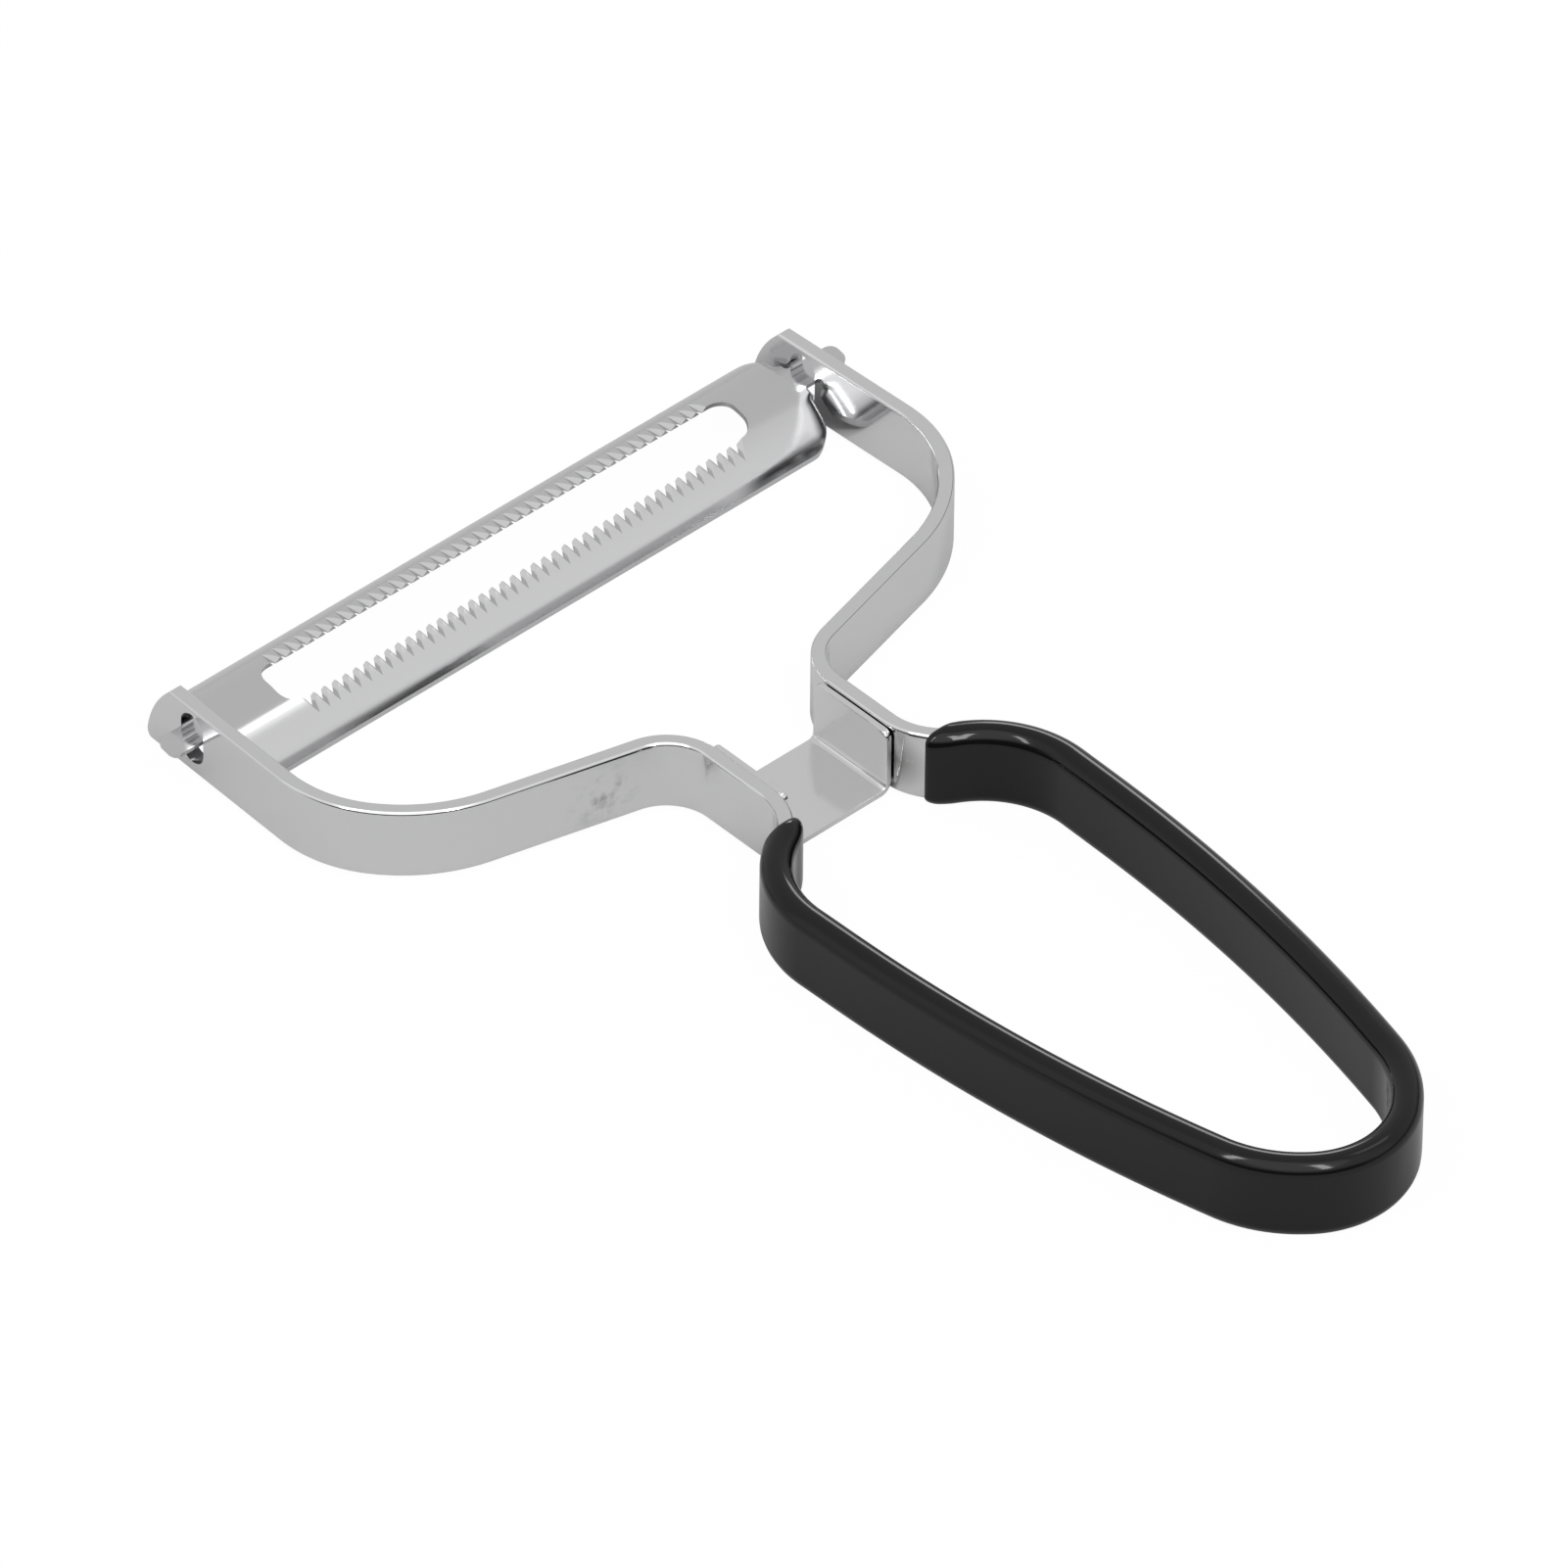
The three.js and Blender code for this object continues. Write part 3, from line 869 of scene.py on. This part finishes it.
# Studio: pale floor in a white tent that is open, and dark, toward the camera
studio = {
    "floor": "#c6c6c6",
    "floorHalf": 4000,
    "shadow": 0.04,  # how much of the floor's own light and shadow the camera sees
    "floorWhite": 1.015,  # the plain white that it sees for the rest
    "backdrop": 0.66,
    "side": 0.9,
    "sideFrom": (-0.1, 0.15),  # cosine to the opening, from the backdrop to the sides
    "skirting": 0.25,  # dim band along the tent's foot, except at the back
    "skirtingY": (0.6, 0.0),  # y and height of a direction, from clear to dim
    "skirtingHeight": (0.32, 0.12),
    "opening": 0.03,
    "openingTo": (-0.684, -0.729, 0.0),
    "openingSide": (0.3, 0.75),  # cosine to the opening and height, from closed to open
    "openingHeight": (0.5, 0.25),
    "overhead": 1.5,
    "overheadTo": (-0.35, -0.37, 0.86),
    "overheadEdge": (0.84, 0.9),  # cosine to the overhead light, from its edge to full light
    "lamps": [
        # place, aim, the way it is laid, length and width (mm), radiance
        ((-140, -440, 552), (0, 20, 0), (0, 0, 1), 400, 90, 11.0),
        ((-460, -30, 535), (0, 20, 0), (0, 0, 1), 400, 60, 12.0),
        ((138, -86, 262), (0, 20, 0), (0, 1, 0), 70, 80, 1.3),
    ],
    # for the line along the grip's left edge
    "gripLamp": ((400, 320, 253), (-19, -35, 10), (0, 1, 0), 160, 120, 5.0),
}


def makeFloor():
    material = bpy.data.materials.new("matt_white_sweep")
    material.use_nodes = True
    tree = material.node_tree
    tree.nodes.clear()
    camera = addNode(tree, "ShaderNodeLightPath").outputs["Is Camera Ray"]
    matt = addNode(tree, "ShaderNodeBsdfDiffuse", {"Color": linear(studio["floor"])})
    white = addNode(tree, "ShaderNodeEmission",
                    {"Color": (1, 1, 1, 1), "Strength": studio["floorWhite"]})
    share = addNode(tree, "ShaderNodeMath", {0: camera, 1: 1 - studio["shadow"]}, operation="MULTIPLY")
    mixed = addNode(tree, "ShaderNodeMixShader",
                    {0: share.outputs[0], 1: matt.outputs[0], 2: white.outputs[0]})
    addNode(tree, "ShaderNodeOutputMaterial", {"Surface": mixed.outputs[0]})
    half = studio["floorHalf"]
    corners = [(-half, -half, 0), (half, -half, 0), (half, half, 0), (-half, half, 0)]
    mesh = meshFrom("floor", corners, [(0, 1, 2, 3)])
    mesh.materials.append(material)
    floor = newObject("floor", mesh)


# lowers a level where both values lie past their spans
def dimmed(tree, level, first, second, dim):
    shares = []
    for value, (low, high) in (first, second):
        share = addNode(tree, "ShaderNodeMapRange", {"Value": value, "From Min": low, "From Max": high},
                        interpolation_type="SMOOTHSTEP")
        shares.append(share.outputs[0])
    both = addNode(tree, "ShaderNodeMath", {0: shares[0], 1: shares[1]}, operation="MULTIPLY")
    return addNode(tree, "ShaderNodeMix", {"Factor": both.outputs[0], "A": level, "B": dim}).outputs[0]


def makeWorld():
    world = bpy.data.worlds.new("white_tent")
    bpy.context.scene.world = world
    world.use_nodes = True
    tree = world.node_tree
    tree.nodes.clear()
    direction = addNode(tree, "ShaderNodeTexCoord").outputs["Generated"]
    parts = addNode(tree, "ShaderNodeSeparateXYZ", {0: direction}).outputs
    height = parts["Z"]
    toward = addNode(tree, "ShaderNodeVectorMath", {0: direction, 1: studio["openingTo"]},
                     operation="DOT_PRODUCT").outputs["Value"]
    above = addNode(tree, "ShaderNodeVectorMath", {0: direction, 1: studio["overheadTo"]},
                    operation="DOT_PRODUCT").outputs["Value"]
    low, high = studio["sideFrom"]
    walls = addNode(tree, "ShaderNodeMapRange",
                    {"Value": toward, "From Min": low, "From Max": high, "To Min": studio["backdrop"],
                     "To Max": studio["side"]}, interpolation_type="SMOOTHSTEP")
    low, high = studio["overheadEdge"]
    box = addNode(tree, "ShaderNodeMapRange", {"Value": above, "From Min": low, "From Max": high},
                  interpolation_type="SMOOTHSTEP")
    lit = addNode(tree, "ShaderNodeMix",
                  {"Factor": box.outputs[0], "A": walls.outputs[0], "B": studio["overhead"]})
    level = dimmed(tree, lit.outputs[0], (parts["Y"], studio["skirtingY"]),
                   (height, studio["skirtingHeight"]), studio["skirting"])
    level = dimmed(tree, level, (toward, studio["openingSide"]), (height, studio["openingHeight"]),
                   studio["opening"])
    camera = addNode(tree, "ShaderNodeLightPath").outputs["Is Camera Ray"]
    tent = addNode(tree, "ShaderNodeBackground", {"Color": (1, 1, 1, 1), "Strength": level})
    white = addNode(tree, "ShaderNodeBackground", {"Color": (1, 1, 1, 1), "Strength": 1.0})
    mixed = addNode(tree, "ShaderNodeMixShader", {0: camera, 1: tent.outputs[0], 2: white.outputs[0]})
    addNode(tree, "ShaderNodeOutputWorld", {"Surface": mixed.outputs[0]})


def makeLamp(name, place, aim, laid, length, width, radiance):
    lamp = bpy.data.lights.new(name, "AREA")
    lamp.shape = "RECTANGLE"
    lamp.size = width * mm
    lamp.size_y = length * mm
    lamp.energy = radiance * pi * lamp.size * lamp.size_y
    holder = bpy.data.objects.new(name, lamp)
    back = (Vector(place) - Vector(aim)).normalized()
    across = Vector(laid).cross(back).normalized()
    turn = Matrix((across, back.cross(across), back)).transposed().to_4x4()
    holder.matrix_world = Matrix.Translation(Vector(place) * mm) @ turn
    bpy.context.scene.collection.objects.link(holder)
    return holder


def makeLamps():
    for i, lamp in enumerate(studio["lamps"]):
        makeLamp("soft_box_%d" % i, *lamp)
    gripLamp = makeLamp("grip_strip_light", *studio["gripLamp"])
    lit = bpy.data.collections.new("lit_by_grip_strip_light")
    lit.objects.link(gripPiece)
    gripLamp.light_linking.receiver_collection = lit
    gripLamp.visible_camera = False


# Camera: the photograph's own view, nearly parallel
view = {
    "azimuth": -43.154,
    "elevation": 41.062,
    "roll": 0.577,
    "distance": 2457.9,
    "target": (0.21, 0.0, 0.0),  # from the neck, at the strip's lower edge
    "focalPixels": 21155.4,
    "imagePixels": 1601,
    "sensorMm": 36.0,
}


def makeCamera():
    azimuth, elevation, roll = (radians(view[name]) for name in ("azimuth", "elevation", "roll"))
    right = Vector((cos(azimuth), sin(azimuth), 0))
    back = Vector((sin(azimuth) * cos(elevation), -cos(azimuth) * cos(elevation), sin(elevation)))
    up = back.cross(right)
    rolledRight = right * cos(roll) + up * sin(roll)
    rolledUp = up * cos(roll) - right * sin(roll)
    target = Vector(view["target"]) + Vector((0, neckY, stripZ))
    at = (target + back * view["distance"]) * mm
    lens = bpy.data.cameras.new("photo_view")
    lens.sensor_width = view["sensorMm"]
    lens.lens = view["focalPixels"] / view["imagePixels"] * view["sensorMm"]
    camera = bpy.data.objects.new("photo_view", lens)
    turn = Matrix((rolledRight, rolledUp, back)).transposed().to_4x4()
    camera.matrix_world = Matrix.Translation(at) @ turn
    bpy.context.scene.collection.objects.link(camera)
    bpy.context.scene.camera = camera


makeFloor()
makeWorld()
makeLamps()
makeCamera()
bpy.context.scene.view_settings.view_transform = "Standard"
print("studio and camera set")
